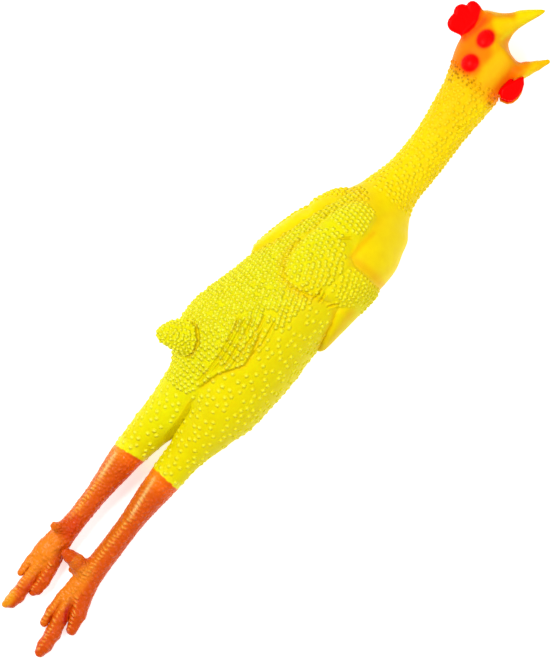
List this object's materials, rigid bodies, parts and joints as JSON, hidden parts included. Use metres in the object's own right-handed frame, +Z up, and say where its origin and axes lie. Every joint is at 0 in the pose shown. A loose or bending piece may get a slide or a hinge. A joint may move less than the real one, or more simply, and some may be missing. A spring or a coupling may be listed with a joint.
{
  "type": "rubber chicken",
  "caption": "Limp plucked rubber chicken toy in yellow latex with bumpy skin, red comb and wattles, open beak and long orange legs, lying on its side.",
  "frame": {"origin": "on the resting surface, in the middle of the flat patch of the torso's left breast", "axes": "+X towards the beak, +Y the side that the back faces, +Z up from the resting surface"},
  "size_m": [0.5602, 0.0991, 0.084],
  "materials": {
    "skin_latex": "yellow latex, satin, raised follicle bumps",
    "head_latex": "yellow latex airbrushed orange, satin",
    "red_latex": "latex painted red, semi-gloss",
    "leg_latex": "latex painted orange, fine scales, semi-gloss",
    "squeaker_plastic": "moulded white",
    "reed_film": "thin film"
  },
  "bodies": {
    "torso": {"torso_shell": "skin_latex", "neck_base_flex": "skin_latex", "hip_flex_right": "skin_latex", "hip_flex_left": "skin_latex", "tail_flex": "skin_latex", "squeaker_barrel": "squeaker_plastic", "squeaker_carrier": "squeaker_plastic", "squeaker_grille": "squeaker_plastic", "wing_arm_right": "skin_latex", "wing_arm_left": "skin_latex"},
    "reed": {"squeaker_reed": "reed_film"},
    "neck_lower": {"neck_lower": "skin_latex", "neck_middle_flex": "skin_latex"},
    "neck_upper": {"neck_upper": "skin_latex", "head_flex": "skin_latex"},
    "head": {"skull": "head_latex", "upper_beak": "head_latex", "eye_right": "red_latex", "eye_left": "red_latex", "ear_lobe_right": "red_latex", "ear_lobe_left": "red_latex"},
    "jaw": {"lower_beak": "head_latex"},
    "comb": {"comb": "red_latex"},
    "wattle_right": {"wattle_right": "red_latex"},
    "wattle_left": {"wattle_left": "red_latex"},
    "tail": {"tail_tip": "skin_latex"},
    "wing_hand_right": {"wing_hand_right": "skin_latex"},
    "wing_hand_left": {"wing_hand_left": "skin_latex"},
    "thigh_right": {"thigh_right": "skin_latex", "hock_flex_right": "skin_latex"},
    "shank_right": {"shank_right": "leg_latex", "ankle_flex_right": "leg_latex"},
    "foot_right": {"foot_right": "leg_latex"},
    "toe_inner_right": {"toe_inner_right": "leg_latex"},
    "toe_middle_right": {"toe_middle_right": "leg_latex"},
    "toe_outer_right": {"toe_outer_right": "leg_latex"},
    "toe_hallux_right": {"toe_hallux_right": "leg_latex"},
    "thigh_left": {"thigh_left": "skin_latex", "hock_flex_left": "skin_latex"},
    "shank_left": {"shank_left": "leg_latex", "ankle_flex_left": "leg_latex"},
    "foot_left": {"foot_left": "leg_latex"},
    "toe_inner_left": {"toe_inner_left": "leg_latex"},
    "toe_middle_left": {"toe_middle_left": "leg_latex"},
    "toe_outer_left": {"toe_outer_left": "leg_latex"},
    "toe_hallux_left": {"toe_hallux_left": "leg_latex"}
  },
  "joints": [
    {"name": "reed_flutter", "type": "hinge", "parent": "torso", "child": "reed", "pos_m": [-0.04, -0.01645, 0.01086], "axis": [1, 0, 0], "range_deg": [0, 4], "stiffness_Nm_per_rad": 0.0005},
    {"name": "neck_base_bend", "type": "hinge", "parent": "torso", "child": "neck_lower", "pos_m": [0.1143, -0.006, 0.0195], "axis": [0, 0, 1], "range_deg": [-25, 25], "stiffness_Nm_per_rad": 0.15, "deforming": ["neck_base_flex"]},
    {"name": "neck_middle_lift", "type": "hinge", "parent": "neck_lower", "child": "neck_upper", "pos_m": [0.1557, -0.0064, 0.0151], "axis": [0, -1, 0], "range_deg": [0, 38], "stiffness_Nm_per_rad": 0.12, "deforming": ["neck_middle_flex"]},
    {"name": "head_nod", "type": "hinge", "parent": "neck_upper", "child": "head", "pos_m": [0.1922, -0.003, 0.0166], "axis": [0, 0, 1], "range_deg": [-22, 22], "stiffness_Nm_per_rad": 0.1, "deforming": ["head_flex"]},
    {"name": "jaw_close", "type": "hinge", "parent": "head", "child": "jaw", "pos_m": [0.2355, -0.0183, 0.017], "axis": [0, 0, 1], "range_deg": [-8, 28], "stiffness_Nm_per_rad": 0.03},
    {"name": "comb_flop", "type": "hinge", "parent": "head", "child": "comb", "pos_m": [0.24025, 0.0277, 0.017], "axis": [0.9997, -0.0255, 0], "range_deg": [-20, 20], "stiffness_Nm_per_rad": 0.01},
    {"name": "wattle_right_swing", "type": "hinge", "parent": "head", "child": "wattle_right", "pos_m": [0.2246, -0.0176, 0.0244], "axis": [-1, 0, 0], "range_deg": [0, 32], "stiffness_Nm_per_rad": 0.004},
    {"name": "wattle_left_swing", "type": "hinge", "parent": "head", "child": "wattle_left", "pos_m": [0.2246, -0.0176, 0.0096], "axis": [1, 0, 0], "range_deg": [0, 16], "stiffness_Nm_per_rad": 0.004},
    {"name": "tail_bend", "type": "hinge", "parent": "torso", "child": "tail", "pos_m": [-0.048, 0.0385, 0.058], "axis": [0, -0.4516, 0.8922], "range_deg": [-18, 18], "stiffness_Nm_per_rad": 0.03, "deforming": ["tail_flex"]},
    {"name": "wing_right_lift", "type": "hinge", "parent": "torso", "child": "wing_hand_right", "pos_m": [0.0436, -0.0386, 0.0613], "axis": [0, 0.5163, 0.8564], "range_deg": [0, 30], "stiffness_Nm_per_rad": 0.02},
    {"name": "wing_left_lift", "type": "hinge", "parent": "torso", "child": "wing_hand_left", "pos_m": [0.0396, 0.0446, 0.041], "axis": [0, 0, -1], "range_deg": [0, 25], "stiffness_Nm_per_rad": 0.02},
    {"name": "hip_right_spread", "type": "hinge", "parent": "torso", "child": "thigh_right", "pos_m": [-0.077, -0.0148, 0.0415], "axis": [0, 0, 1], "range_deg": [0, 30], "stiffness_Nm_per_rad": 0.15, "deforming": ["hip_flex_right"]},
    {"name": "hock_right_lift", "type": "hinge", "parent": "thigh_right", "child": "shank_right", "pos_m": [-0.134, -0.0133, 0.0202], "axis": [0, 1, 0], "range_deg": [0, 55], "stiffness_Nm_per_rad": 0.1, "deforming": ["hock_flex_right"]},
    {"name": "ankle_right_lift", "type": "hinge", "parent": "shank_right", "child": "foot_right", "pos_m": [-0.189, -0.0154, 0.0091], "axis": [0, 1, 0], "range_deg": [0, 40], "stiffness_Nm_per_rad": 0.06, "deforming": ["ankle_flex_right"]},
    {"name": "toe_inner_right_lift", "type": "hinge", "parent": "foot_right", "child": "toe_inner_right", "pos_m": [-0.238, -0.0107, 0.0052], "axis": [-0.0834, 0.9965, 0], "range_deg": [0, 24], "stiffness_Nm_per_rad": 0.015},
    {"name": "toe_middle_right_lift", "type": "hinge", "parent": "foot_right", "child": "toe_middle_right", "pos_m": [-0.239, -0.0194, 0.0052], "axis": [-0.1496, 0.9887, 0], "range_deg": [0, 24], "stiffness_Nm_per_rad": 0.015},
    {"name": "toe_outer_right_lift", "type": "hinge", "parent": "foot_right", "child": "toe_outer_right", "pos_m": [-0.2305, -0.0264, 0.0049], "axis": [-0.2516, 0.9678, 0], "range_deg": [0, 24], "stiffness_Nm_per_rad": 0.015},
    {"name": "toe_hallux_right_lift", "type": "hinge", "parent": "foot_right", "child": "toe_hallux_right", "pos_m": [-0.2135, -0.0092, 0.0126], "axis": [0.9995, -0.032, 0], "range_deg": [0, 24], "stiffness_Nm_per_rad": 0.015},
    {"name": "hip_left_spread", "type": "hinge", "parent": "torso", "child": "thigh_left", "pos_m": [-0.077, 0.017, 0.0176], "axis": [0, 0, -1], "range_deg": [0, 30], "stiffness_Nm_per_rad": 0.15, "deforming": ["hip_flex_left"]},
    {"name": "hock_left_lift", "type": "hinge", "parent": "thigh_left", "child": "shank_left", "pos_m": [-0.134, 0.0171, 0.0116], "axis": [0, 1, 0], "range_deg": [0, 55], "stiffness_Nm_per_rad": 0.1, "deforming": ["hock_flex_left", "toe_hallux_right"]},
    {"name": "ankle_left_lift", "type": "hinge", "parent": "shank_left", "child": "foot_left", "pos_m": [-0.189, 0.0153, 0.0076], "axis": [0, 1, 0], "range_deg": [0, 40], "stiffness_Nm_per_rad": 0.06, "deforming": ["ankle_flex_left", "toe_hallux_right"]},
    {"name": "toe_inner_left_lift", "type": "hinge", "parent": "foot_left", "child": "toe_inner_left", "pos_m": [-0.232, 0.0223, 0.005], "axis": [-0.0438, 0.999, 0], "range_deg": [0, 24], "stiffness_Nm_per_rad": 0.015},
    {"name": "toe_middle_left_lift", "type": "hinge", "parent": "foot_left", "child": "toe_middle_left", "pos_m": [-0.238, 0.0144, 0.005], "axis": [-0.0538, 0.9986, 0], "range_deg": [0, 24], "stiffness_Nm_per_rad": 0.015},
    {"name": "toe_outer_left_lift", "type": "hinge", "parent": "foot_left", "child": "toe_outer_left", "pos_m": [-0.228, 0.0062, 0.0049], "axis": [-0.0647, 0.9979, 0], "range_deg": [0, 24], "stiffness_Nm_per_rad": 0.015},
    {"name": "toe_hallux_left_lift", "type": "hinge", "parent": "foot_left", "child": "toe_hallux_left", "pos_m": [-0.202, 0.0198, 0.014], "axis": [0.9333, 0.359, 0], "range_deg": [0, 24], "stiffness_Nm_per_rad": 0.015}
  ]
}
